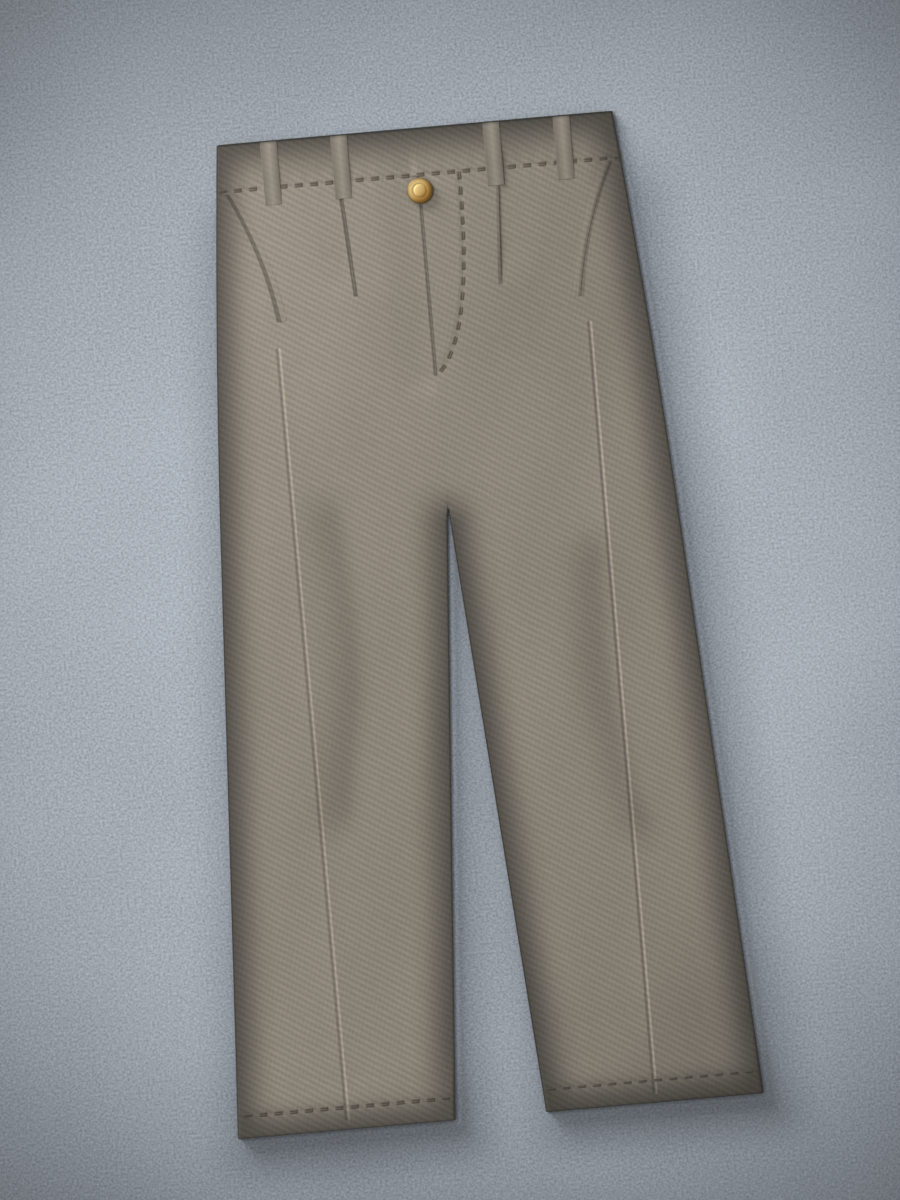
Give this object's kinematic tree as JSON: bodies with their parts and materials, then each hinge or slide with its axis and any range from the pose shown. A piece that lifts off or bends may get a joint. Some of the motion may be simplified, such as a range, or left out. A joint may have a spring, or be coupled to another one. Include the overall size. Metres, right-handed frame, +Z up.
{
  "type": "pleated wide-leg trousers laid flat",
  "caption": "Wide-leg twill trousers laid flat front up, with pressed creases, front pleats, slanted pockets, belt loops and a brass button.",
  "frame": {"origin": "on the surface the garment lies on, under the middle of its length and width", "axes": "+Y up the garment to the waist, +X to the viewer's right, which is the wearer's left, +Z up out of the front"},
  "size_m": [0.5316, 1.0002, 0.0122],
  "materials": {
    "twill": "matt cotton twill",
    "band_twill": "matt cotton twill, doubled",
    "loop_twill": "matt cotton twill, folded",
    "button_brass": "polished"
  },
  "bodies": {
    "root": {"front_left": "twill", "front_right": "twill", "back_left": "twill", "back_right": "twill", "waistband_left": "band_twill", "waistband_right": "band_twill", "pocket_welt_left": "twill", "pocket_welt_right": "twill", "loop_front_1": "loop_twill", "loop_front_2": "loop_twill", "loop_front_3": "loop_twill", "loop_front_4": "loop_twill", "loop_back_1": "loop_twill", "loop_back_2": "loop_twill", "loop_back_3": "loop_twill", "button": "button_brass"}
  },
  "joints": []
}
